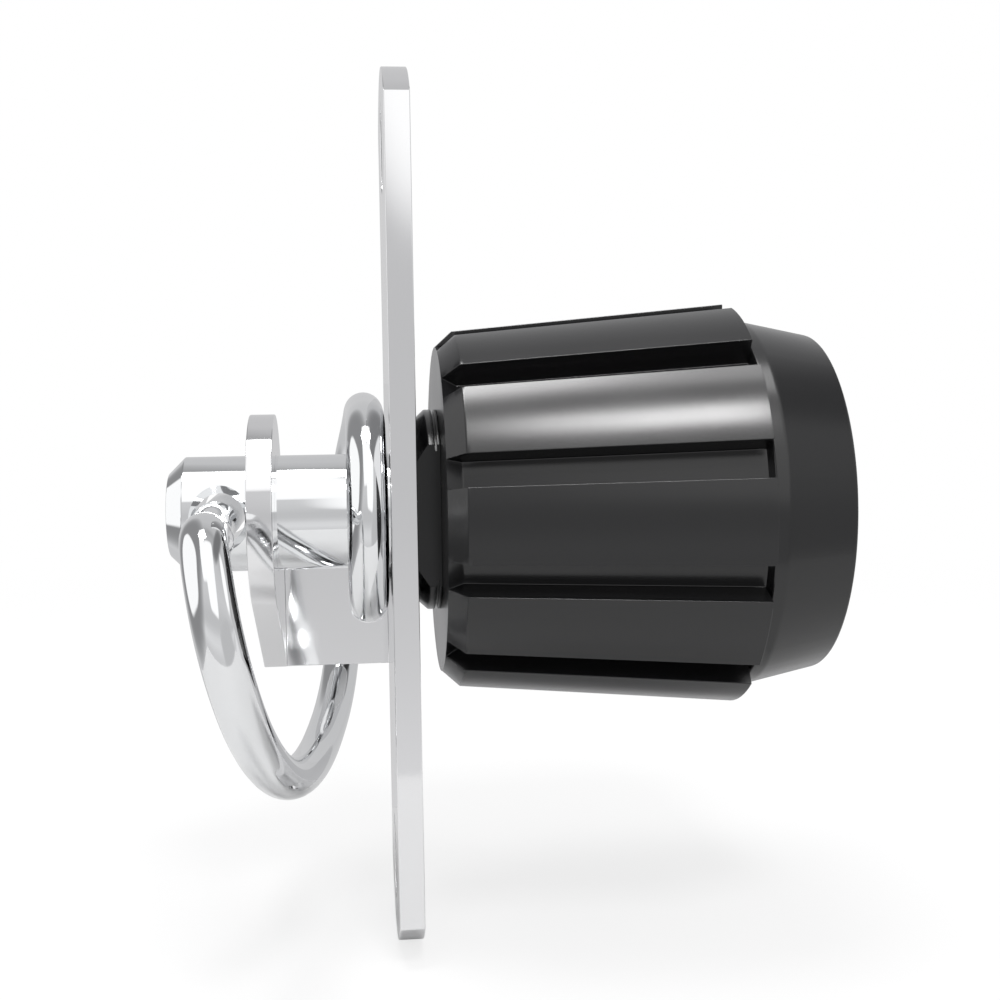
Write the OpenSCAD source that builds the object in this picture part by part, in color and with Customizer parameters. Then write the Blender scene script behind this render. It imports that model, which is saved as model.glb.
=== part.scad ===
// Compression latch: a folded bracket with two slots, a cross-drilled pin, a round
// wire lock, and a ribbed knob that screws along the pin's threaded tail.
// Millimetres. +X runs along the pin towards the knob, +Z is up, -Y is the front.
// The origin is the centre of the plate's mounting face, on the pin axis.

// which node to draw

/* [Bracket] */

// height of the slotted plate, tip to tip
plate_len = 106; // [96:1:120]
// width of the plate
plate_w = 27; // [24:0.5:32]
// thickness of the sheet
sheet_t = 3; // [2:0.25:3.5]
// radius of the arc at each end of the plate
end_arc_r = 20.7; // [17:0.1:30]
// distance from the plate's tip to the centre of a slot
slot_inset = 9.2; // [8.5:0.1:13]
// length of a slot, end to end
slot_len = 11; // [8:0.5:12]
// width of a slot
slot_w = 6.5; // [4.5:0.1:7]
// clear space between the tab and the plate
tab_gap = 13.5; // [12:0.5:16]
// radius of the round tab about the pin
tab_r = 12; // [10.5:0.1:13]
// how far the web reaches below the pin axis
web_drop = 21.8; // [18:0.2:24]
// inside radius of the two folds
fold_r = 0.5; // [0.3:0.1:1]

/* [Pin] */

// diameter of the pin
pin_d = 14; // [12:0.2:14.4]
// how far the tip stands out of the tab
pin_tip_out = 9.8; // [9:0.1:12]
// length of the 45 degree chamfer on the tip
tip_chamfer = 2; // [1:0.1:2.5]
// diameter of the cross-hole for the wire
cross_d = 5.9; // [5.4:0.1:6.2]
// distance from the tab to the centre of the cross-hole
cross_out = 3.4; // [3.3:0.1:4.5]
// outside diameter of the thread on the pin's tail
thread_d = 12; // [10:0.5:12]

/* [Wire lock] */

// diameter of the round wire
wire_d = 4.8; // [4:0.1:5]
// how far the bow reaches in front of the pin axis
bow_front = 37.5; // [34:0.5:42]
// how far the bow hangs below the web
bow_under = 8.2; // [7.6:0.2:12]
// how far the bow reaches behind the web
bow_back = 10; // [8:0.5:14]
// radius of the eye round the pin, to the middle of the wire
eye_r = 11.4; // [10.6:0.1:11.6]

/* [Collar] */

// diameter of the thrust collar
collar_d = 24.6; // [23:0.2:28]
// thickness of the collar and washer, so the knob clears the panel
collar_t = 3; // [2.5:0.1:5]
// distance across the two wrench flats
flats_w = 18; // [16.4:0.2:20]

/* [Knob] */

// length of the knob
knob_len = 46.2; // [42:0.1:54]
// largest diameter of the knob, over the ribs
knob_d = 49.6; // [46:0.2:58]
// number of ribs round the knob
rib_count = 11; // [8:1:12]
// angle that one rib spans about the axis
rib_angle = 22.7; // [18:0.1:24]
// depth of the grooves between ribs at the large end
groove_depth = 3.35; // [1.5:0.05:4]
// distance the knob travels when it is screwed out
travel = 5.25; // [3:0.25:7]

/* [Hidden] */

$fn = 96;
e = 0.01;                        // lets one cut run past a face
run_gap = 0.06;                  // running clearance on a radius
seat_gap = 0.03;                 // clearance of a seated or threaded piece on a radius
face_gap = 0.04;                 // clearance between two faces that turn on each other
pin_r = pin_d / 2;
thread_r = thread_d / 2;
slot_pitch = plate_len - 2 * slot_inset;     // distance between the two slot centres
wire_r = wire_d / 2;
tab_x = -(2 * sheet_t + tab_gap);            // outer face of the tab
web_y = plate_w / 2;                         // inner face of the web
web_back = web_y + sheet_t;                  // outer face of the web
tip_x = tab_x - pin_tip_out;
cross_x = tab_x - cross_out;
eye_x = -(sheet_t + wire_r + 0.25);
knob_x = collar_t;
knob_end = knob_x + knob_len;
shank_end = knob_x + 9;                      // where the plain shank becomes the thread
insert_x = shank_end + 1.5;
insert_len = 17;
insert_r = thread_r * 1.5;
nut_x = insert_x + insert_len + travel + 0.4;
nut_t = 5;
cavity_r = thread_r * 2;
cap_r = cavity_r + 2;
cap_t = 2;
spigot_t = 1.4;

// a turned body about the pin axis, from [radius, x] points
module turned(points) {
    rotate([0, 90, 0])
        rotate_extrude()
            polygon(points);
}

// a round bar or bore along the pin axis
module along_x(r, x0, x1) {
    translate([x0, 0, 0])
        rotate([0, 90, 0])
            cylinder(r = r, h = x1 - x0);
}

// the plate's outline is a strip whose two ends are arcs
module plate_body() {
    arc_z = plate_len / 2 - end_arc_r;
    straight_z = arc_z + sqrt(end_arc_r * end_arc_r - web_y * web_y);
    translate([-sheet_t, -web_y, -straight_z])
        cube([sheet_t, plate_w, 2 * straight_z]);
    for (side = [-1, 1])
        intersection() {
            translate([0, 0, side * arc_z])
                along_x(end_arc_r, -sheet_t, 0);
            translate([-sheet_t - e, -web_y, side > 0 ? straight_z - e : -plate_len])
                cube([sheet_t + 2 * e, plate_w, plate_len - straight_z + e]);
        }
}

// one quarter-round fold, standing on the web's bottom edge
module fold(x, toward) {
    translate([x, web_y - fold_r, -web_drop])
        intersection() {
            difference() {
                cylinder(r = fold_r + sheet_t, h = web_drop);
                translate([0, 0, -1])
                    cylinder(r = fold_r, h = web_drop + 2);
            }
            translate([toward > 0 ? 0 : -2 * sheet_t, 0, -e])
                cube([2 * sheet_t, 2 * sheet_t, web_drop + 2 * e]);
        }
}

// the tab is round over the pin and runs back to the web on a tangent line
module tab_body() {
    corner = [web_y - fold_r, -web_drop];
    away = norm(corner);
    bearing = atan2(corner[1], corner[0]) - acos(tab_r / away);
    touch = [tab_r * cos(bearing), tab_r * sin(bearing)];
    along_x(tab_r, tab_x, tab_x + sheet_t);
    translate([tab_x, 0, 0])
        rotate([90, 0, 90])
            linear_extrude(sheet_t)
                polygon([[0, 0], touch, corner, [corner[0], 0]]);
}

module slot(z) {
    half = (slot_len - slot_w) / 2;
    for (side = [-1, 1])
        translate([0, 0, z + side * half])
            along_x(slot_w / 2, -sheet_t - 1, 1);
    translate([-sheet_t - 1, -slot_w / 2, z - half])
        cube([sheet_t + 2, slot_w, 2 * half]);
}

// plate, web and tab folded from one sheet
module mounting_bracket() {
    color([0.78, 0.79, 0.80])
        difference() {
            union() {
                plate_body();
                tab_body();
                fold(-sheet_t - fold_r, 1);
                fold(tab_x + sheet_t + fold_r, -1);
                translate([tab_x + sheet_t + fold_r, web_y, -web_drop])
                    cube([tab_gap - 2 * fold_r, sheet_t, web_drop]);
            }
            slot(slot_pitch / 2);
            slot(-slot_pitch / 2);
            along_x(pin_r + run_gap, tab_x - 1, 1);
        }
}

// a turned pin: chamfered tip, countersunk cross-hole, reduced tail
module locking_pin() {
    tail_end = nut_x + nut_t + 0.8;
    sink = 0.9;
    color([0.86, 0.87, 0.88])
        difference() {
            turned([[0, tip_x], [pin_r - tip_chamfer, tip_x], [pin_r, tip_x + tip_chamfer],
                    [pin_r, shank_end - 0.6], [pin_r - 0.6, shank_end],
                    [thread_r - 0.9, shank_end], [thread_r - 0.9, shank_end + 1.2],
                    [thread_r, shank_end + 2.1], [thread_r, tail_end - 0.9],
                    [thread_r - 0.9, tail_end], [0, tail_end]]);
            translate([cross_x, 0, 0])
                rotate([90, 0, 0])
                    cylinder(d = cross_d, h = 2 * pin_d, center = true);
            for (side = [-1, 1])
                translate([cross_x, side * (pin_r - sink), 0])
                    rotate([side * -90, 0, 0])
                        cylinder(r1 = cross_d / 2, r2 = cross_d / 2 + 2 * sink, h = 2 * sink);
        }
}

// The wire's course, each row [share of the way from cross-hole to eye along X, Y, Z].
// Y and Z are drawn for a bow that reaches 37.5 forward, 26.5 back and 30 down.
course = [[0, 9.2, 0], [0, 0, 0], [0, -8.5, 0], [0, -16, 0], [0.05, -26, -0.4],
          [0.06, -34.2, 0.3], [0.11, -37.4, -4.8], [0.19, -36.5, -12.6],
          [0.29, -30.4, -20.7], [0.42, -20, -27.3], [0.55, -6.8, -30],
          [0.66, 6.6, -29.2], [0.76, 17.8, -24.6], [0.82, 24.3, -15.8],
          [0.845, 26.4, -5.8], [0.88, 24, 2.9], [0.955, 17.9, 9.1], [0.99, 9.2, 12]];
front_k = bow_front / 37.5;
back_k = (web_back + bow_back) / 26.5;
down_k = (web_drop + bow_under) / 30;
pin_k = pin_r / 7;
eye_k = eye_r / 11.4;

function placed(p) = [cross_x + p[0] * (eye_x - cross_x),
                      p[1] * (p[0] == 0 ? pin_k : p[1] < 0 ? front_k : back_k),
                      p[2] * (p[2] < 0 ? down_k : eye_k)];

// the eye runs from the top over the front and below, and stops short of the web
eye = [for (a = [90 : 25 : 315]) [eye_x, eye_r * cos(a), eye_r * sin(a)]];
knots = concat([for (p = course) placed(p)], eye);

// a smooth curve through the knots: Hermite spans with slopes from their neighbours
function gap_at(i) = norm(knots[i + 1] - knots[i]);
function slope_in(i) = (knots[i + 1] - knots[i]) / gap_at(i);
function slope(i) =
    i == 0 ? slope_in(0) :
    i == len(knots) - 1 ? slope_in(i - 1) :
    (slope_in(i - 1) * gap_at(i) + slope_in(i) * gap_at(i - 1)) / (gap_at(i) + gap_at(i - 1));
function hermite(i, t) =
    knots[i] * (2 * t * t * t - 3 * t * t + 1)
    + slope(i) * gap_at(i) * (t * t * t - 2 * t * t + t)
    + knots[i + 1] * (3 * t * t - 2 * t * t * t)
    + slope(i + 1) * gap_at(i) * (t * t * t - t * t);
steps = 5;
spine = concat([for (i = [0 : len(knots) - 2]) for (k = [0 : steps - 1]) hermite(i, k / steps)],
               [knots[len(knots) - 1]]);

function unit(v) = v / norm(v);
function heading(i) = unit(spine[min(i + 1, len(spine) - 1)] - spine[max(i - 1, 0)]);
function side_of(t) = unit([1, 0, 0] - t * t[0]);
// both cut ends of the wire are a little smaller than the rest
function radius_at(i) = (i == 0 || i == len(spine) - 1) ? wire_r * 0.85 : wire_r;

sides = 16;
wire_points = [for (i = [0 : len(spine) - 1])
    let (t = heading(i), u = side_of(t), v = cross(t, u))
        for (k = [0 : sides - 1])
            spine[i] + radius_at(i) * (u * cos(k * 360 / sides) + v * sin(k * 360 / sides))];
wire_faces = concat(
    [[for (k = [0 : sides - 1]) k]],
    [[for (k = [0 : sides - 1]) (len(spine) - 1) * sides + sides - 1 - k]],
    [for (i = [0 : len(spine) - 2]) for (k = [0 : sides - 1])
        let (n = (k + 1) % sides)
            [i * sides + k, (i + 1) * sides + k, (i + 1) * sides + n, i * sides + n]]);

module wire_lock() {
    color([0.84, 0.85, 0.86])
        polyhedron(points = wire_points, faces = wire_faces, convexity = 8);
}

washer_t = 0.4;                              // the washer is the last layer of the stack
collar_end = collar_t - washer_t;

// two wrench flats, facing front and back
module flats(x0, x1) {
    for (side = [-1, 1])
        translate([x0, side > 0 ? flats_w / 2 : -flats_w / 2 - collar_d, -collar_d])
            cube([x1 - x0, collar_d, 2 * collar_d]);
}

// the outboard rim steps in a little under the washer
module thrust_collar() {
    r = collar_d / 2;
    color([0.05, 0.05, 0.055])
        difference() {
            turned([[pin_r + run_gap, face_gap], [r - 1.4, face_gap], [r, face_gap + 1.5],
                    [r, collar_end - 0.25], [r - 0.5, collar_end - 0.25],
                    [r - 0.5, collar_end], [pin_r + run_gap, collar_end]]);
            flats(-1, collar_end + 1);
        }
}

module slip_washer() {
    color([0.07, 0.07, 0.075])
        difference() {
            turned([[pin_r + run_gap, collar_end], [collar_d / 2, collar_end],
                    [collar_d / 2, knob_x - face_gap], [pin_r + run_gap, knob_x - face_gap]]);
            flats(-1, knob_x + 1);
        }
}

// rib and groove-floor radii at the two ends
rib_big = knob_d / 2;
rib_small = rib_big * 0.879;
face_r = rib_big * 0.802;
floor_small = face_r - 1.15;
floor_big = rib_big - groove_depth;
rib_len = knob_len - 10.45;
rib_root = floor_small - 1.2;                // the ribs start inside the core, apart

band_r = rib_big - 2.1;                      // the plain band beyond the ribs
tail_r = rib_big - 3.9;

module rib(bearing) {
    rotate([0, 90, 0])
        rotate([0, 0, bearing - rib_angle / 2])
            rotate_extrude(angle = rib_angle)
                polygon([[rib_root, knob_x + 0.02], [face_r, knob_x + 0.02],
                         [rib_small, knob_x + 2.1], [rib_big, knob_x + rib_len],
                         [rib_root, knob_x + rib_len]]);
}

module ribbed_knob() {
    x = knob_x;
    color([0.055, 0.055, 0.06])
        difference() {
            union() {
                // the core: the floor of the grooves, then the plain band and end taper
                turned([[0, x], [face_r, x], [floor_small, x + 1.8], [floor_big, x + rib_len],
                        [band_r, x + rib_len + 0.45], [band_r, x + rib_len + 1.95],
                        [tail_r, knob_end], [0, knob_end]]);
                // the ribs: each a sector of a chamfered cone
                for (i = [0 : rib_count - 1])
                    rib(-90.2 - i * 360 / rib_count);
            }
            along_x(pin_r + 0.3, x - 1, insert_x + 1);
            along_x(insert_r + seat_gap, insert_x, insert_x + insert_len + 1);
            along_x(cavity_r + seat_gap, insert_x + insert_len, knob_end - cap_t + e);
            along_x(cap_r + seat_gap, knob_end - cap_t, knob_end + 1);
        }
}

// a round insert with two grooves that key it into the moulding
module threaded_insert() {
    x0 = insert_x;
    x1 = insert_x + insert_len;
    r = insert_r;
    color([0.72, 0.60, 0.32])
        turned([[thread_r + run_gap, x0], [r, x0], [r, x0 + 4], [r - 0.8, x0 + 4.4],
                [r - 0.8, x0 + 6.2], [r, x0 + 6.6], [r, x1 - 6.6], [r - 0.8, x1 - 6.2],
                [r - 0.8, x1 - 4.4], [r, x1 - 4], [r, x1], [thread_r + run_gap, x1]]);
}

// keeps the knob from being screwed right off the pin
module stop_nut() {
    color([0.72, 0.73, 0.74])
        difference() {
            translate([nut_x, 0, 0])
                rotate([0, 90, 0])
                    cylinder(d = 3 * thread_r / cos(30), h = nut_t, $fn = 6);
            along_x(thread_r + seat_gap, nut_x - 1, nut_x + nut_t + 1);
        }
}

// closes the knob's end
module end_cap() {
    color([0.05, 0.05, 0.055])
        turned([[0, knob_end - cap_t - spigot_t], [cavity_r, knob_end - cap_t - spigot_t],
                [cavity_r, knob_end - cap_t], [cap_r, knob_end - cap_t],
                [cap_r, knob_end - 0.5], [cap_r - 0.5, knob_end], [0, knob_end]]);
}

mounting_bracket();
locking_pin();
wire_lock();
thrust_collar();
slip_washer();
ribbed_knob();
threaded_insert();
stop_nut();
end_cap();
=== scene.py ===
# Compression latch on a white studio floor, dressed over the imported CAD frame.
import bpy
import bmesh
import math
import numpy as np
from mathutils import Matrix, Vector


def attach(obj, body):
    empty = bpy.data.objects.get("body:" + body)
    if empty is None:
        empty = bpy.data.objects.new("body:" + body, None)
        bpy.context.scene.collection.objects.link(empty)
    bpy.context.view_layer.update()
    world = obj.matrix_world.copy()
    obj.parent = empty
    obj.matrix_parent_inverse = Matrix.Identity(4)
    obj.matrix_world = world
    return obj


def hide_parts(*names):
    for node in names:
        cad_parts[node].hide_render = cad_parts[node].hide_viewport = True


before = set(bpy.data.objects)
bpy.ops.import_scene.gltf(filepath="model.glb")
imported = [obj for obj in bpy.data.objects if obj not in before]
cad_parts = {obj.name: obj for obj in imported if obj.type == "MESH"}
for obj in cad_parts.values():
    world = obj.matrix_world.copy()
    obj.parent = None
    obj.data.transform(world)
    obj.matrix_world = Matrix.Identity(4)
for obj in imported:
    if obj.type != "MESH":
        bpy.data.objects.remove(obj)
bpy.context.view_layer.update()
print("frame loaded:", sorted(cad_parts))

mm = 0.001  # the pieces are drawn in millimetres and scaled once
quarter = math.pi / 2


def hexColor(text):  # sRGB hex to linear
    parts = [int(text[i:i + 2], 16) / 255 for i in (1, 3, 5)]
    return [c / 12.92 if c <= 0.04045 else ((c + 0.055) / 1.055) ** 2.4 for c in parts] + [1.0]


def addNode(tree, kind, settings=None, inputs=None):  # an input is a value, or a socket to link
    node = tree.nodes.new(kind)
    for key, value in (settings or {}).items():
        setattr(node, key, value)
    for key, value in (inputs or {}).items():
        if isinstance(value, bpy.types.NodeSocket):
            tree.links.new(value, node.inputs[key])
        else:
            node.inputs[key].default_value = value
    return node


def clearedTree(owner):
    owner.use_nodes = True
    owner.node_tree.nodes.clear()
    return owner.node_tree


def shadeRamp(tree, source, low, high, stops):  # shades laid out between two values of the source
    share = addNode(tree, "ShaderNodeMapRange", inputs={0: source, 1: low, 2: high, 3: 0.0, 4: 1.0})
    node = addNode(tree, "ShaderNodeValToRGB", inputs={0: share.outputs[0]})
    while len(node.color_ramp.elements) < len(stops):
        node.color_ramp.elements.new(0.5)
    for element, (value, shade) in zip(node.color_ramp.elements, stops):
        element.position = (value - low) / (high - low)
        element.color = hexColor(shade)
    return node.outputs[0]


def placed(name, data):
    thing = bpy.data.objects.new(name, data)
    bpy.context.scene.collection.objects.link(thing)
    return thing


def levelSheet(name, west, east, south, north, height):  # in metres
    mesh = bpy.data.meshes.new(name)
    corners = [(west, south, height), (east, south, height), (east, north, height), (west, north, height)]
    mesh.from_pydata(corners, [], [(0, 1, 2, 3)])
    return placed(name, mesh)


def shadedPiece(name, mesh, sharpAngle=40, weighted=True):
    mesh.shade_smooth()
    mesh.set_sharp_from_angle(angle=math.radians(sharpAngle))
    piece = placed(name, mesh)
    if weighted:
        even = piece.modifiers.new("evenNormals", "WEIGHTED_NORMAL")
        even.keep_sharp = True
        even.weight = 60
    return piece


def meshPiece(name, points, faces, sharpAngle=40, weighted=True):
    mesh = bpy.data.meshes.new(name)
    mesh.from_pydata([Vector(p) * mm for p in points], [], faces)
    mesh.validate()
    bm = bmesh.new()
    bm.from_mesh(mesh)
    bmesh.ops.remove_doubles(bm, verts=bm.verts, dist=1e-7)
    bmesh.ops.recalc_face_normals(bm, faces=bm.faces)
    bm.to_mesh(mesh)
    bm.free()
    return shadedPiece(name, mesh, sharpAngle, weighted)


def loft(rings, closeStart=False, closeEnd=False):  # rings of equal length, each a closed loop
    count = len(rings[0])
    points = [p for ring in rings for p in ring]
    faces = []
    for r in range(len(rings) - 1):
        for k in range(count):
            n = (k + 1) % count
            faces.append((r * count + k, (r + 1) * count + k, (r + 1) * count + n, r * count + n))
    if closeStart:
        faces.append(tuple(range(count)))
    if closeEnd:
        faces.append(tuple((len(rings) - 1) * count + k for k in range(count)))
    return points, faces


def turnedRing(x, radius, count, offset=0.4):  # the offset keeps the points off the mid-plane
    turns = [2 * math.pi * (k + offset) / count for k in range(count)]
    return [(x, -radius * math.cos(a), radius * math.sin(a)) for a in turns]


def rounded(profile, steps=4):  # rows of [x, radius], or [x, radius, blend] to round that corner
    result = []
    for i, row in enumerate(profile):
        if len(row) < 3 or i in (0, len(profile) - 1):
            result.append((row[0], row[1]))
            continue
        here, before, after = (Vector(profile[j][:2]) for j in (i, i - 1, i + 1))
        a = here + (before - here).normalized() * row[2]
        b = here + (after - here).normalized() * row[2]
        for s in range(steps + 1):
            t = s / steps
            q = a * (1 - t) ** 2 + here * 2 * t * (1 - t) + b * t ** 2
            result.append((q.x, q.y))
    return result


def dress(piece, material, body, node):
    piece.data.materials.clear()
    piece.data.materials.append(material)
    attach(piece, body)
    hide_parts(node)


# the photograph's view: a 50 mm lens, close to the latch
cameraSettings = {
    "lens": 50,
    "place": (-7.32, -171.03, 15.53),
    "forward": (0.10532, 0.99084, -0.0845),
    "up": (0.02245, 0.08258, 0.99633),
}
cameraData = bpy.data.cameras.new("studioCamera")
cameraData.lens = cameraSettings["lens"]
cameraData.sensor_width = 36
cameraData.clip_start = 0.01
camera = placed("studioCamera", cameraData)
forward = Vector(cameraSettings["forward"]).normalized()
right = forward.cross(Vector(cameraSettings["up"])).normalized()
turn = Matrix((right, right.cross(forward), -forward)).transposed().to_4x4()
camera.matrix_world = Matrix.Translation(Vector(cameraSettings["place"]) * mm) @ turn
bpy.context.scene.camera = camera
bpy.context.scene.view_settings.view_transform = "Standard"
print("camera placed")

studio = {
    "floorHeight": -53.02,
    "floorSize": (-6, 6, -6, 14),      # west, east, south, north (m)
    "floorColor": "#828282",
    "floorGlow": 0.735,                # the camera alone sees the floor lifted to paper white
    "whiteFrom": 0.20,                 # metres from the latch where the floor starts to fade to white
    "whiteTo": 0.42,
    "cardEdges": (-92, 170, -95, 50),  # west, east, south, north of the card under the latch (mm)
    "cardColor": "#DADADA",
    "roomStrength": 1.27,
    # the room's walls, by angle over the front: 0 is the front horizon, 90 overhead, 180 behind
    "walls": [(-180, "#B8B8B9"), (-140, "#C0C0C1"), (-115, "#DCDCDD"), (-62, "#DEDEDF"), (-42, "#C6C6C7"),
              (-32, "#C8C8C9"), (-22, "#D6D6D7"), (-16, "#D2D2D3"), (-11, "#C6C6C7"), (-5, "#BDBDBE"),
              (3, "#BCBCBD"), (12, "#C2C2C3"), (25, "#C8C8C9"), (60, "#C2C2C3"), (99, "#A0A0A1"),
              (108, "#B4B4B5"), (124, "#BDBDBE"), (180, "#BCBCBD")],
    # lit and dark cards on the walls: angle over the front, angle towards the knob's side, half width
    # and half height (degrees), roll, squareness (2 is an ellipse), softness of the edge, shade
    "cards": [
        (92, -64, 56, 54, 0, 2, 0.40, "#868687"),     # dark surround of the left panel
        (80, -70, 36, 28, -60, 3, 0.07, "#FAFAFA"),   # left panel
        (-27, 43, 26, 20, 0, 3, 0.20, "#B8B8B9"),     # duller wall low on the right
        (102, 43, 8, 25, 0, 3, 0.45, "#747475"),      # dark gap behind on the right
        (82, 68, 16, 9, -39, 2, 0.25, "#FFFFFF"),     # small panel on the right
        (52, -8.5, 8, 20, 0, 8, 0.16, "#FFFFFF"),     # lower part of the overhead panel, feathered
        (76, -8.5, 8, 23, 0, 10, 0.04, "#FFFFFF"),    # overhead panel
        (42.5, 16, 17, 35.5, 0, 8, 0.09, "#FFFFFF"),  # front panel, to the right of the camera
    ],
    # name, width, depth (m), distance (m), elevation, azimuth from the front, watts
    "softboxes": [
        ("keyBox", 0.22, 0.19, 1.00, 54.5, 8, 3.3),
        ("overheadBox", 0.36, 0.42, 1.15, 82, -60, 5.0),
        ("knobBox", 0.90, 0.42, 1.15, 86, 0, 5.5),
    ],
    "aim": (0.01, 0, 0),               # the point that the softboxes face (m)
}
for name, width, depth, distance, elevation, azimuth, watts in studio["softboxes"]:
    lampData = bpy.data.lights.new(name, "AREA")
    lampData.shape = "RECTANGLE"
    lampData.size, lampData.size_y, lampData.energy = width, depth, watts
    e, a = math.radians(elevation), math.radians(azimuth)
    toward = Vector((math.cos(e) * math.sin(a), -math.cos(e) * math.cos(a), math.sin(e)))
    lamp = placed(name, lampData)
    lamp.location = toward * distance + Vector(studio["aim"])
    lamp.rotation_euler = toward.to_track_quat("Z", "Y").to_euler()
print("softboxes hung")

# the room that the chrome mirrors: walls shaded by height, and cards on them
world = bpy.data.worlds.new("studioRoom")
bpy.context.scene.world = world
wt = clearedTree(world)
heading = addNode(wt, "ShaderNodeTexCoord").outputs["Generated"]
split = addNode(wt, "ShaderNodeSeparateXYZ", inputs={0: heading})
front = addNode(wt, "ShaderNodeMath", {"operation": "MULTIPLY"}, {0: split.outputs[1], 1: -1.0})
angle = addNode(wt, "ShaderNodeMath", {"operation": "ARCTAN2"}, {0: split.outputs[2], 1: front.outputs[0]})
degreesRound = addNode(wt, "ShaderNodeMath", {"operation": "DEGREES"}, {0: angle.outputs[0]})
shades = shadeRamp(wt, degreesRound.outputs[0], -180, 180, studio["walls"])
for over, aside, wide, high, roll, square, soft, shade in studio["cards"]:
    e, a = math.radians(over), math.radians(aside)
    middle = Vector((math.sin(a), -math.cos(a) * math.cos(e), math.cos(a) * math.sin(e)))
    upward = Vector((0, math.sin(e), math.cos(e)))
    tilt = Matrix.Rotation(math.radians(roll), 3, middle)
    upward, sideways = tilt @ upward, tilt @ middle.cross(upward)
    ahead, across, above = (
        addNode(wt, "ShaderNodeVectorMath", {"operation": "DOT_PRODUCT"}, {0: heading, 1: v}).outputs["Value"]
        for v in (middle, sideways, upward))
    total = None
    for part, reach in ((across, wide), (above, high)):
        slope = addNode(wt, "ShaderNodeMath", {"operation": "DIVIDE"}, {0: part, 1: ahead})
        share = addNode(wt, "ShaderNodeMath", {"operation": "DIVIDE"},
                        {0: slope.outputs[0], 1: math.tan(math.radians(reach))})
        size = addNode(wt, "ShaderNodeMath", {"operation": "ABSOLUTE"}, {0: share.outputs[0]})
        power = addNode(wt, "ShaderNodeMath", {"operation": "POWER"}, {0: size.outputs[0], 1: float(square)})
        total = power if total is None else addNode(
            wt, "ShaderNodeMath", {"operation": "ADD"}, {0: total.outputs[0], 1: power.outputs[0]})
    edge = addNode(wt, "ShaderNodeMapRange", {"interpolation_type": "SMOOTHSTEP"},
                   {0: total.outputs[0], 1: (1 - soft) ** square, 2: (1 + soft) ** square, 3: 1.0, 4: 0.0})
    faced = addNode(wt, "ShaderNodeMath", {"operation": "GREATER_THAN"}, {0: ahead, 1: 0.05})
    mask = addNode(wt, "ShaderNodeMath", {"operation": "MULTIPLY"}, {0: edge.outputs[0], 1: faced.outputs[0]})
    shades = addNode(wt, "ShaderNodeMix", {"data_type": "RGBA"},
                     {0: mask.outputs[0], 6: shades, 7: hexColor(shade)}).outputs[2]
room = addNode(wt, "ShaderNodeBackground", inputs={0: shades, 1: studio["roomStrength"]})
paper = addNode(wt, "ShaderNodeBackground", inputs={0: (1, 1, 1, 1), 1: 1.0})
ray = addNode(wt, "ShaderNodeLightPath")
sky = addNode(wt, "ShaderNodeMixShader",
              inputs={0: ray.outputs["Is Camera Ray"], 1: room.outputs[0], 2: paper.outputs[0]})
addNode(wt, "ShaderNodeOutputWorld", inputs={0: sky.outputs[0]})
print("room painted")

# uncoated paper: no gloss at all, near the latch it takes a shadow and farther off it fades to white
floorPaper = bpy.data.materials.new("matteStudioPaper")
pt = clearedTree(floorPaper)
look = addNode(pt, "ShaderNodeLightPath")
matte = addNode(pt, "ShaderNodeBsdfDiffuse", inputs={"Color": hexColor(studio["floorColor"])})
lift = addNode(pt, "ShaderNodeMath", {"operation": "MULTIPLY"},
               {0: look.outputs["Is Camera Ray"], 1: studio["floorGlow"]})
glow = addNode(pt, "ShaderNodeEmission", inputs={1: lift.outputs[0]})
near = addNode(pt, "ShaderNodeAddShader", inputs={0: matte.outputs[0], 1: glow.outputs[0]})
white = addNode(pt, "ShaderNodeEmission", inputs={1: 1.0})
spot = addNode(pt, "ShaderNodeTexCoord")
reach = addNode(pt, "ShaderNodeVectorMath", {"operation": "LENGTH"}, {0: spot.outputs["Object"]})
fade = addNode(pt, "ShaderNodeMapRange", {"interpolation_type": "SMOOTHSTEP"},
               {0: reach.outputs["Value"], 1: studio["whiteFrom"], 2: studio["whiteTo"], 3: 0.0, 4: 1.0})
far = addNode(pt, "ShaderNodeMixShader", inputs={0: fade.outputs[0], 1: near.outputs[0], 2: white.outputs[0]})
addNode(pt, "ShaderNodeOutputMaterial", inputs={0: far.outputs[0]})
floorHeight = studio["floorHeight"] * mm
floor = levelSheet("studioFloor", *studio["floorSize"], floorHeight)
floor.data.materials.append(floorPaper)
floor.visible_glossy = floor.visible_diffuse = False  # the room below the latch lights it

# smooth coated board, bright and even: the chrome mirrors it from below, where the camera sees paper
whiteCard = bpy.data.materials.new("coatedWhiteCard")
ct = clearedTree(whiteCard)
board = addNode(ct, "ShaderNodeBsdfPrincipled",
                inputs={"Base Color": hexColor(studio["cardColor"]), "Roughness": 0.6})
addNode(ct, "ShaderNodeOutputMaterial", inputs={0: board.outputs[0]})
sheet = levelSheet("reflectedCard", *(v * mm for v in studio["cardEdges"]), floorHeight + 0.00001)
sheet.data.materials.append(whiteCard)
sheet.visible_camera = sheet.visible_diffuse = sheet.visible_shadow = False
print("studio ready")


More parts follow.
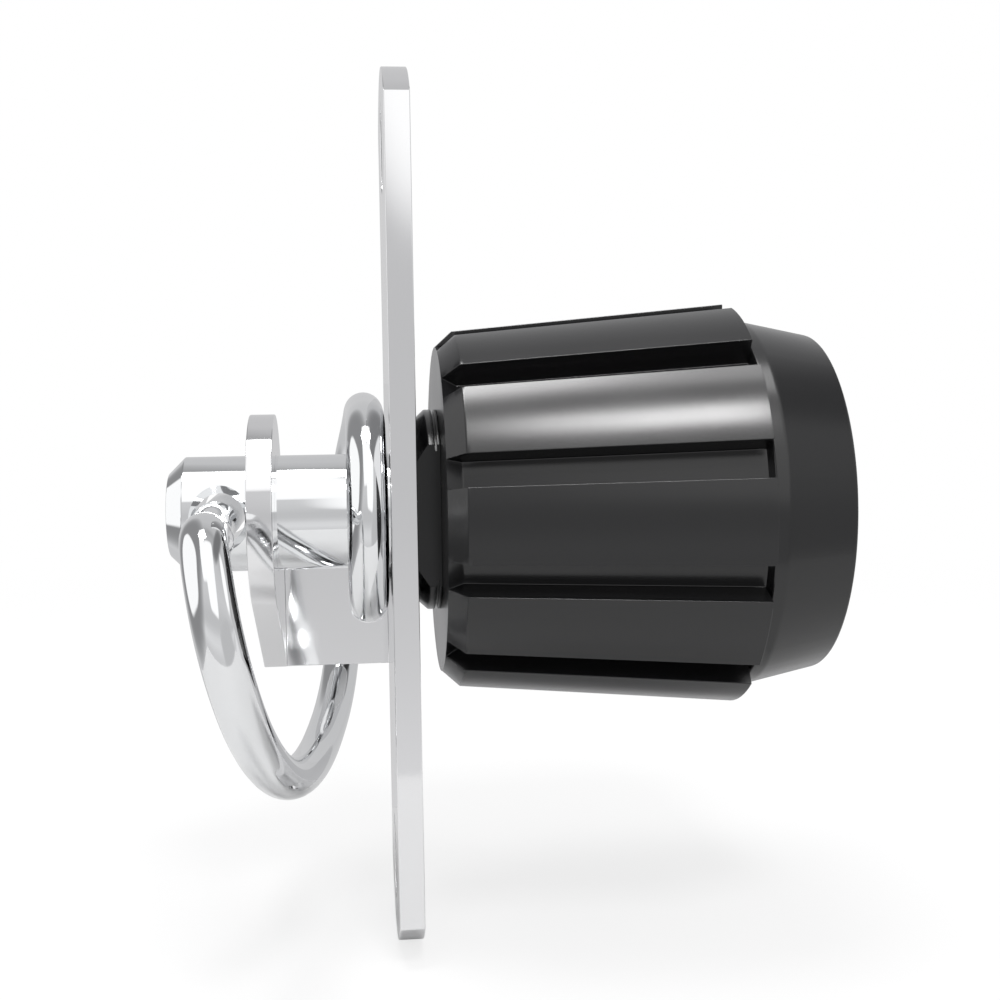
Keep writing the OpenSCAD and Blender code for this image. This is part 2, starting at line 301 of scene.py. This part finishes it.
def finished(name, color, sockets, grain, depth, cloud, gloss):
    # a fine grain (spacing and depth in mm) and a gloss that drifts slowly over the surface (size in mm)
    material = bpy.data.materials.new(name)
    tree = clearedTree(material)
    where = addNode(tree, "ShaderNodeTexCoord").outputs["Object"]
    fine = addNode(tree, "ShaderNodeTexNoise", inputs={"Vector": where, "Scale": 1 / mm / grain, "Detail": 2.0})
    bump = addNode(tree, "ShaderNodeBump",
                   inputs={"Height": fine.outputs[0], "Distance": depth * mm, "Strength": 1.0})
    slow = addNode(tree, "ShaderNodeTexNoise", inputs={"Vector": where, "Scale": 1 / mm / cloud, "Detail": 3.0})
    drift = addNode(tree, "ShaderNodeMapRange",
                    inputs={0: slow.outputs[0], 1: 0.3, 2: 0.7, 3: gloss[0], 4: gloss[1]})
    shader = addNode(tree, "ShaderNodeBsdfPrincipled",
                     inputs={"Base Color": hexColor(color), "Roughness": drift.outputs[0],
                             "Normal": bump.outputs[0], **sockets})
    addNode(tree, "ShaderNodeOutputMaterial", inputs={0: shader.outputs[0]})
    return material


metal = {"Metallic": 1.0}
# bright chrome on a ground steel bar: mirror sharp; the grinding is drawn coarse, or it wouldn't show
barChrome = finished("groundBarBrightChrome", "#E6E7E8", metal, 1.2, 0.0002, 9, (0.035, 0.06))
# drawn spring wire, electropolished: as bright as the bar, a touch softer, with long low waves
wireChrome = finished("drawnWireElectropolished", "#E5E6E7", metal, 2.0, 0.0003, 12, (0.04, 0.07))
# pressed steel sheet, barrel polished and nickel plated: bright flat faces, softer than the bar
sheetNickel = finished("pressedSheetBrightNickel", "#E6E6E7", metal, 1.5, 0.0004, 14, (0.05, 0.08))
# glass-filled nylon from a finely eroded tool: black with a broad soft shine, no mirror
knobNylon = finished("mouldedNylonSatinBlack", "#161617", {"IOR": 1.53}, 0.25, 0.0012, 16, (0.20, 0.24))
# acetal turned from rod: black and slick, with a sharper shine than the knob
collarAcetal = finished("turnedAcetalBlack", "#0E0E0F", {"IOR": 1.48}, 0.4, 0.0006, 8, (0.16, 0.22))
# free-cutting brass, turned: warm yellow, with tool marks that blur the shine
insertBrass = finished("turnedBrass", "#D9B872", metal, 0.3, 0.001, 6, (0.22, 0.3))
# steel, zinc plated and clear passivated: pale blue-grey with a dull sheen
nutZinc = finished("zincPlatedSteel", "#BFC3C7", metal, 0.5, 0.001, 7, (0.25, 0.34))
print("materials mixed")

# bracket: a flat pattern with rounded rims, folded twice
bracket = {
    "thick": 3.0, "foldInside": 0.06, "foldSteps": 8, "tabGap": 13.5,
    "plateLong": 106.0, "plateWide": 27.0, "endArc": 20.7,
    "slotPitch": 87.6, "slotLong": 11.0, "slotWide": 6.5,
    "tabRound": 12.0, "webDrop": 21.8, "pinHole": 7.06,
    "rim": 0.12, "rimSteps": 3,
}


def arc(cx, cz, radius, a0, a1, count):
    return [(cx + radius * math.cos(a0 + (a1 - a0) * k / count),
             cz + radius * math.sin(a0 + (a1 - a0) * k / count)) for k in range(count + 1)]


def inset(loop, amount, hole):  # moves a closed loop into the metal
    result = []
    area = sum(loop[i - 1][0] * loop[i][1] - loop[i][0] * loop[i - 1][1] for i in range(len(loop)))
    side = (1 if area > 0 else -1) * (-1 if hole else 1)
    for i, p in enumerate(loop):
        before, here, after = Vector(loop[i - 1]), Vector(p), Vector(loop[(i + 1) % len(loop)])
        d0, d1 = (here - before).normalized(), (after - here).normalized()
        n0, n1 = Vector((-d0.y, d0.x)) * side, Vector((-d1.y, d1.x)) * side
        m = (n0 + n1).normalized()
        result.append(tuple(here + m * amount / max(0.3, m.dot(n0))))
    return result


def foldedBracket(b):
    half = b["plateWide"] / 2
    thick, inside = b["thick"], b["foldInside"]
    # distances along the flat pattern: plate, fold, web, fold, tab
    foldAt = half - inside
    foldLong = (inside + thick / 2) * quarter
    webStart = foldAt + foldLong
    webEnd = webStart + b["tabGap"] - 2 * inside
    tabStart = webEnd + foldLong
    pinAt = tabStart + foldAt

    arcMiddle = b["plateLong"] / 2 - b["endArc"]
    spread = math.asin(half / b["endArc"])
    away = math.hypot(foldAt, b["webDrop"])
    touch = math.atan2(-b["webDrop"], foldAt) - math.acos(b["tabRound"] / away)  # round tab meets its slope
    outline = arc(0, arcMiddle, b["endArc"], quarter + spread, quarter - spread, 30)
    outline += [(half, 24.0), (half, 0.0), (webStart, 0.0), (webEnd, 0.0), (tabStart, 0.0)]
    outline += [(pinAt - y, z) for y, z in arc(0, 0, b["tabRound"], 0, 2 * math.pi + touch, 90)]
    outline += [(s, -b["webDrop"]) for s in (tabStart, webEnd, webStart, half)] + [(half, -35.0)]
    outline += arc(0, -arcMiddle, b["endArc"], -quarter + spread, -quarter - spread, 30)
    loops = [outline]
    for at in (0.0, pinAt):
        loops.append(arc(at, 0, b["pinHole"], 0, 2 * math.pi, 96)[:-1])
    run = (b["slotLong"] - b["slotWide"]) / 2
    for z in (b["slotPitch"] / 2, -b["slotPitch"] / 2):
        loops.append(arc(0, z + run, b["slotWide"] / 2, 0, math.pi, 32)
                     + arc(0, z - run, b["slotWide"] / 2, math.pi, 2 * math.pi, 32))

    # the rim's rounding, as rows of inset and depth from the outer face to the inner one
    levels = [(b["rim"] * (1 - math.sin(a)), b["rim"] * (1 - math.cos(a)))
              for a in (quarter * k / b["rimSteps"] for k in range(b["rimSteps"] + 1))]
    levels += [(step, thick - depth) for step, depth in reversed(levels)]
    bm = bmesh.new()
    firstEdges, lastEdges = [], []
    for index, loop in enumerate(loops):
        rings = [[bm.verts.new((p[0], p[1], depth)) for p in inset(loop, amount, index > 0)]
                 for amount, depth in levels]
        count = len(loop)
        for r in range(len(rings) - 1):
            for k in range(count):
                n = (k + 1) % count
                bm.faces.new((rings[r][k], rings[r][n], rings[r + 1][n], rings[r + 1][k]))
        for ring, bag in ((rings[0], firstEdges), (rings[-1], lastEdges)):
            for k in range(count):
                bag.append(bm.edges.get((ring[k], ring[(k + 1) % count])))
    for bag in (firstEdges, lastEdges):
        bmesh.ops.triangle_fill(bm, use_beauty=True, edges=bag)

    # cuts where the sheet will bend, and along the web's upper and lower edge
    bends = [start + foldLong * k / b["foldSteps"]
             for start in (foldAt, webEnd) for k in range(b["foldSteps"] + 1)]
    cuts = [((s, 0, 0), (1, 0, 0)) for s in bends] + [((0, z, 0), (0, 1, 0)) for z in (0.0, -b["webDrop"])]
    for point, normal in cuts:
        bmesh.ops.bisect_plane(bm, geom=bm.verts[:] + bm.edges[:] + bm.faces[:], plane_co=point,
                               plane_no=normal, dist=1e-5)

    near, far = -thick - inside, -thick - inside - (webEnd - webStart)  # centres of the two folds
    for v in bm.verts:
        s, z, t = v.co
        rho = inside + thick - t
        inFoldedPart = -b["webDrop"] - 0.01 <= z <= 0.01
        if s <= foldAt or (s < half + 0.01 and not inFoldedPart):
            x, y = -t, s
        elif s <= webStart:
            a = (s - foldAt) / foldLong * quarter
            x, y = near + rho * math.cos(a), foldAt + rho * math.sin(a)
        elif s <= webEnd:
            x, y = near - (s - webStart), foldAt + rho
        elif s <= tabStart:
            a = quarter + (s - webEnd) / foldLong * quarter
            x, y = far + rho * math.cos(a), foldAt + rho * math.sin(a)
        else:
            x, y = far - rho, foldAt - (s - tabStart)
        v.co = (x * mm, y * mm, z * mm)
    bmesh.ops.recalc_face_normals(bm, faces=bm.faces)
    mesh = bpy.data.meshes.new("foldedBracket")
    bm.to_mesh(mesh)
    bm.free()
    return shadedPiece("foldedBracket", mesh)


dress(foldedBracket(bracket), sheetNickel, "latch_base", "mounting_bracket")
print("bracket folded")

# pin: turned, then cross-drilled and chamfered
pin = {
    "radius": 7.0, "tip": -29.3, "tipChamfer": 2.0, "blend": 0.12, "around": 256,
    "shankEnd": 12.0, "shankChamfer": 0.6, "neckLong": 1.2, "threadDeep": 0.9,
    "tailRadius": 6.0, "tailEnd": 41.95,
    "crossAt": -22.9, "crossRadius": 2.95, "mouth": 0.6, "bearings": 128,
    "drillFrom": 2, "drillTo": 9,  # distances from the axis where each half of the drill starts and ends
}


def mouthEdges(p, a):  # the chamfer's inner and outer edge at one bearing round the hole
    f = p["mouth"]
    out = p["crossRadius"] + f
    lean = 0.0
    for _ in range(6):  # the chamfer leans with the round of the pin
        at = out + f * math.sin(lean)
        height = math.sqrt(p["radius"] ** 2 - (at * math.sin(a)) ** 2)
        lean = math.atan(at * math.sin(a) ** 2 / height)
    deep = height - f * math.cos(lean)
    inner = Vector((p["crossRadius"] * math.cos(a), deep, p["crossRadius"] * math.sin(a)))
    outer = Vector((at * math.cos(a), height, at * math.sin(a)))
    return inner, outer


def drillTool(p):  # flares at both mouths, so the chamfer is as wide all the way round
    drillRings = []
    for side in (-1, 1):
        rings = [[], [], [], []]
        for k in range(p["bearings"]):
            inner, outer = mouthEdges(p, 2 * math.pi * k / p["bearings"])
            beyond = outer + (outer - inner) * 2
            rows = zip(rings, (inner, inner, beyond, beyond), (p["drillFrom"], inner.y, beyond.y, p["drillTo"]))
            for ring, at, y in rows:
                ring.append((p["crossAt"] + at.x, side * y, at.z))
        drillRings += rings if side > 0 else rings[::-1]
    points, faces = loft(drillRings, True, True)
    return meshPiece("crossDrill", points, faces, weighted=False)


def trueNormals(mesh, p):  # the exact normals of the turned and drilled faces: no dents in the reflections
    normals = [None] * len(mesh.loops)
    for face in mesh.polygons:
        spot, flat = face.center / mm, face.normal
        aim = Vector((spot.x - p["crossAt"], 0, spot.z))
        outer = mouthEdges(p, math.atan2(aim.z, aim.x))[1]
        near = aim.length < math.hypot(outer.x, outer.z) + 0.05 and abs(spot.y) < p["radius"]
        drilled = near and abs(flat.y) < 0.01
        inMouth = near and not drilled and flat.dot(aim) < -0.2 * aim.length
        for index in face.loop_indices:
            v = mesh.vertices[mesh.loops[index].vertex_index].co / mm
            a = math.atan2(v.z, v.x - p["crossAt"])
            if drilled:
                n = Vector((-math.cos(a), 0, -math.sin(a)))
            elif inMouth:
                (i0, o0), (i1, o1) = mouthEdges(p, a - 0.02), mouthEdges(p, a + 0.02)
                n = ((i1 + o1) - (i0 + o0)).cross((o0 + o1) - (i0 + i1)).normalized()
                n.y = math.copysign(n.y, v.y)
                if n.x * math.cos(a) + n.z * math.sin(a) > 0:
                    n.x, n.z = -n.x, -n.z
            elif abs(flat.x) > 0.999:
                n = flat.copy()
            else:
                n = Vector((0, v.y, v.z)).normalized() * math.sqrt(1 - flat.x ** 2)
                n.x = flat.x
            normals[index] = n
    return normals


def turnedPin(p):
    r, tail, root = p["radius"], p["tailRadius"], p["tailRadius"] - p["threadDeep"]
    neckEnd = p["shankEnd"] + p["neckLong"]
    profile = rounded([
        [p["tip"], 0.0], [p["tip"], r - p["tipChamfer"], p["blend"]],
        [p["tip"] + p["tipChamfer"], r, p["blend"]], [p["shankEnd"] - p["shankChamfer"], r],
        [p["shankEnd"], r - p["shankChamfer"]], [p["shankEnd"], root], [neckEnd, root],
        [neckEnd + p["threadDeep"], tail], [p["tailEnd"] - p["threadDeep"], tail],
        [p["tailEnd"], root], [p["tailEnd"], 0.0]])
    points, faces = loft([turnedRing(x, max(radius, 0.001), p["around"]) for x, radius in profile], True, True)
    piece = meshPiece("crossDrilledPin", points, faces, weighted=False)
    tool = drillTool(p)
    cut = piece.modifiers.new("crossHole", "BOOLEAN")
    cut.operation, cut.solver, cut.object = "DIFFERENCE", "EXACT", tool
    graph = bpy.context.evaluated_depsgraph_get()
    mesh = bpy.data.meshes.new_from_object(piece.evaluated_get(graph))
    piece.modifiers.clear()
    piece.data = mesh
    bpy.data.objects.remove(tool)
    normals = trueNormals(mesh, p)
    mesh.shade_smooth()
    mesh.normals_split_custom_set(normals)
    return piece


dress(turnedPin(pin), barChrome, "latch_base", "locking_pin")
print("pin drilled")

# wire lock: one smooth course from the cross-hole round to the eye
wire = {
    "radius": 2.4, "crossAt": -22.9, "eyeAt": -5.65, "eyeRadius": 11.4, "sides": 32, "perSpan": 18,
    # share of the way along X, then Y and Z in millimetres
    "course": [(0, 9.2, 0), (0, 0, 0), (0, -8.5, 0), (0, -16, 0), (0.05, -26, -0.4), (0.06, -34.2, 0.3),
               (0.11, -37.4, -4.8), (0.19, -36.5, -12.6), (0.29, -30.4, -20.7), (0.42, -20, -27.3),
               (0.55, -6.8, -30), (0.66, 6.6, -29.2), (0.76, 17.8, -24.6), (0.82, 24.3, -15.8),
               (0.845, 26.4, -5.8), (0.88, 24, 2.9), (0.955, 17.9, 9.1), (0.99, 9.2, 12)],
    "eyeAngles": range(90, 316, 25),
    # the broken edge of a cut end: distance in from the end, share of the radius
    "cutEnd": [(0.0, 0.80), (0.10, 0.90), (0.30, 0.97), (0.60, 1.0)],
}


def splineThrough(knots, perSpan):  # natural cubic spline: second derivatives from one linear system
    n = len(knots)
    gap = np.linalg.norm(np.diff(knots, axis=0), axis=1)
    system, known = np.eye(n), np.zeros((n, 3))
    for i in range(1, n - 1):
        system[i, i - 1:i + 2] = gap[i - 1], 2 * (gap[i - 1] + gap[i]), gap[i]
        known[i] = 6 * ((knots[i + 1] - knots[i]) / gap[i] - (knots[i] - knots[i - 1]) / gap[i - 1])
    bend = np.linalg.solve(system, known)
    spine = []
    for i in range(n - 1):
        for k in range(perSpan + (i == n - 2)):
            u = gap[i] * k / perSpan
            left = gap[i] - u
            spine.append((bend[i] * left ** 3 + bend[i + 1] * u ** 3) / (6 * gap[i])
                         + (knots[i] / gap[i] - bend[i] * gap[i] / 6) * left
                         + (knots[i + 1] / gap[i] - bend[i + 1] * gap[i] / 6) * u)
    return np.array(spine)


def ringAt(middle, across, other, radius, sides):
    return [tuple(middle + radius * (across * math.cos(2 * math.pi * k / sides)
                                     + other * math.sin(2 * math.pi * k / sides))) for k in range(sides)]


def sweptWire(w):
    knots = [(w["crossAt"] + f * (w["eyeAt"] - w["crossAt"]), y, z) for f, y, z in w["course"]]
    knots += [(w["eyeAt"], w["eyeRadius"] * math.cos(a), w["eyeRadius"] * math.sin(a))
              for a in map(math.radians, w["eyeAngles"])]
    spine = splineThrough(np.array(knots, float), w["perSpan"])
    heading = np.gradient(spine, axis=0)
    heading /= np.linalg.norm(heading, axis=1)[:, None]
    across = np.array([1.0, 0, 0]) - heading * heading[:, :1]
    across /= np.linalg.norm(across, axis=1)[:, None]
    other = np.cross(heading, across)
    stations = [(0, spine[0] + heading[0] * along, share) for along, share in w["cutEnd"]]
    stations += [(i, spine[i], 1.0) for i in range(2, len(spine) - 2)]
    stations += [(-1, spine[-1] - heading[-1] * along, share) for along, share in reversed(w["cutEnd"])]
    points, faces = loft([ringAt(middle, across[i], other[i], w["radius"] * share, w["sides"])
                          for i, middle, share in stations], True, True)
    return meshPiece("wireLock", points, faces, sharpAngle=50, weighted=False)


dress(sweptWire(wire), wireChrome, "latch_base", "wire_lock")
print("wire bent")

# collar and slip washer: round, with two wrench flats
collar = {"radius": 12.3, "flat": 9.0, "bore": 7.06, "face": 0.04, "coneEnd": 1.54, "chamfer": 1.4,
          "rimEnd": 2.35, "rebate": 0.5, "end": 2.6}
washer = {"end": 2.96, "corner": 0.08}


def flattedRing(x, radius, flat, arcSteps=40, flatSteps=10):
    # round above and below, flat to front and back
    start = math.asin(min(1.0, flat / radius)) if radius > flat else quarter
    ring = []
    for side in (1, -1):  # over the top for side 1, under for side -1
        for k in range(arcSteps):
            a = start - 2 * start * k / arcSteps
            ring.append((x, -side * radius * math.sin(a), side * radius * math.cos(a)))
        z = side * radius * math.cos(start)
        y = side * min(flat, radius)
        for k in range(flatSteps):
            ring.append((x, y, z - 2 * z * k / flatSteps))
    return ring


def flattedBody(name, profile, bore, flat):
    rings = [flattedRing(x, radius, flat) for x, radius in profile]
    bearings = [math.atan2(z, y) for _, y, z in rings[0]]
    first, last = ([(x, bore * math.cos(a), bore * math.sin(a)) for a in bearings]
                   for x in (profile[0][0], profile[-1][0]))
    points, faces = loft([first] + rings + [last, first])
    return meshPiece(name, points, faces, sharpAngle=30)


rim = collar["radius"]
collarPiece = flattedBody("thrustCollar", rounded([
    [collar["face"], rim - collar["chamfer"] - 1], [collar["face"], rim - collar["chamfer"], 0.15],
    [collar["coneEnd"], rim, 0.15], [collar["rimEnd"], rim, 0.12], [collar["rimEnd"], rim - collar["rebate"]],
    [collar["end"], rim - collar["rebate"]], [collar["end"], rim - 1.5]]), collar["bore"], collar["flat"])
washerPiece = flattedBody("slipWasher", rounded([
    [collar["end"], rim - 1], [collar["end"], rim, washer["corner"]], [washer["end"], rim, washer["corner"]],
    [washer["end"], rim - 1]]), collar["bore"], collar["flat"])
dress(collarPiece, collarAcetal, "thrust_stack", "thrust_collar")
dress(washerPiece, collarAcetal, "thrust_stack", "slip_washer")
print("collar and washer turned")

# knob: a cone with radial ribs, a plain band and a tapered tail
knob = {
    "start": 3.0, "long": 46.2, "ribs": 11, "ribAngle": 22.7, "firstRib": -0.2, "ribLong": 35.75,
    "face": 19.9, "ribSmall": 21.8, "ribBig": 24.8, "topRise": 2.1,       # radii, and how soon the ribs rise
    "floorSmall": 18.75, "floorBig": 21.45, "floorRise": 1.8,
    "band": 22.7, "tail": 20.9, "bore": 7.3, "corner": 0.08, "root": 0.12, "capRadius": 14.0,
    # distances from the knob's face, close together where the outline bends
    "stations": (0.0, 0.1, 0.3, 0.7, 1.2, 1.6, 1.78, 1.82, 2.0, 2.07, 2.13, 2.3, 2.6,
                 4, 8, 12, 16, 20, 24, 28, 32, 34.5),
}


def knobSection(x, top, floor, k, trim=0.0):
    # one turn of the outline; each rib stands between two radial walls, with small rounded corners
    pitch = 2 * math.pi / k["ribs"]
    halfRib = math.radians(k["ribAngle"]) / 2 - trim / top
    high = max(top - floor, 0.0)
    corner, root = min(k["corner"], high * 0.4), min(k["root"], high * 0.4)
    low, crown = floor + root, top - corner
    half = []
    for j in range(5):  # half of the groove floor
        half.append((floor, -pitch / 2 + (pitch / 2 - halfRib - root / floor) * j / 4))
    for j in range(1, 4):  # fillet at the foot
        a = quarter * j / 3
        half.append((floor + root * (1 - math.cos(a)), -halfRib - root * (1 - math.sin(a)) / floor))
    half.append(((low + crown) / 2, -halfRib))
    for j in range(4):  # rounded shoulder
        a = quarter * j / 3
        half.append((crown + corner * math.sin(a), -halfRib + corner * (1 - math.cos(a)) / top))
    shoulder = half[-1][1]
    crest = [(top, shoulder * (1 - j / 4)) for j in range(1, 8)]
    whole = half + crest + [(r, -a) for r, a in reversed(half)][:-1]
    ring = []
    for i in range(k["ribs"]):
        middle = math.radians(k["firstRib"]) + i * pitch
        for radius, a in whole:
            ring.append((x, -radius * math.cos(middle + a), radius * math.sin(middle + a)))
    return ring


def ribbedKnob(k):
    x0, end, edge = k["start"], k["start"] + k["long"], k["corner"]
    ribEnd = x0 + k["ribLong"]

    def risen(x, small, big, rise):  # a quick rise from the face, then the long taper
        t = x - x0
        if t < rise:
            return k["face"] + (small - k["face"]) * t / rise
        return small + (big - small) * (t - rise) / (k["ribLong"] - rise)

    def topAt(x):
        return risen(x, k["ribSmall"], k["ribBig"], k["topRise"])

    def floorAt(x):
        return risen(x, k["floorSmall"], k["floorBig"], k["floorRise"])

    mouth = [(x0 + 6.0, k["bore"]), (x0 + 0.3, k["bore"]), (x0, k["bore"] + 0.3), (x0, 15.0),
             (x0, k["face"] - 0.05)]
    rings = [knobSection(x, r, r, k) for x, r in mouth]
    rings += [knobSection(x0 + t, topAt(x0 + t), floorAt(x0 + t), k) for t in k["stations"]]
    for j in range(4):  # rounded outer end of each rib
        a = quarter * j / 3
        x = ribEnd - edge + edge * math.sin(a)
        drop = edge * (1 - math.cos(a))
        rings.append(knobSection(x, topAt(x) - drop, floorAt(x), k, drop))
    rings.append(knobSection(ribEnd, k["floorBig"] + 0.05, k["floorBig"], k, edge))
    tail = rounded([
        [ribEnd, k["floorBig"]], [ribEnd + 0.45, k["band"], 0.2], [ribEnd + 1.95, k["band"], 0.25],
        [end, k["tail"], 0.35], [end, k["capRadius"] + 0.12, 0.2], [end - 1.0, k["capRadius"] + 0.1]])
    rings += [knobSection(x, radius, radius, k, edge) for x, radius in tail]
    points, faces = loft(rings)
    return meshPiece("ribbedKnob", points, faces, sharpAngle=32)


knobPiece = ribbedKnob(knob)
dress(knobPiece, knobNylon, "knob_assembly", "ribbed_knob")
overKnob = bpy.data.collections.new("overKnob")  # the knob's own box is flagged off the chrome
overKnob.objects.link(knobPiece)
bpy.data.objects["knobBox"].light_linking.receiver_collection = overKnob
print("knob moulded")

cap = {"radius": 13.97, "end": 49.18, "dish": 0.33, "rim": 1.6, "corner": 0.3, "plug": 12.0, "plugEnd": 47.2}
capProfile = rounded([
    [cap["plugEnd"] - 1.4, cap["plug"]], [cap["plugEnd"], cap["plug"]], [cap["plugEnd"], cap["radius"]],
    [cap["end"] - 0.28, cap["radius"], 0.2], [cap["end"], cap["radius"] - cap["corner"], 0.15],
    [cap["end"], cap["radius"] - cap["rim"], 0.2],
    [cap["end"] - cap["dish"], cap["radius"] - cap["rim"] - 0.6, 0.3], [cap["end"] - cap["dish"], 0.02]])
points, faces = loft([turnedRing(x, radius, 160) for x, radius in capProfile], True, True)
capPiece = meshPiece("endCap", points, faces, sharpAngle=32)
dress(capPiece, knobNylon, "knob_assembly", "end_cap")

for name, material in (("threaded_insert", insertBrass), ("stop_nut", nutZinc)):  # hidden inside the knob
    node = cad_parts[name]
    node.data.materials.clear()
    node.data.materials.append(material)
print("cap and inner pieces finished")
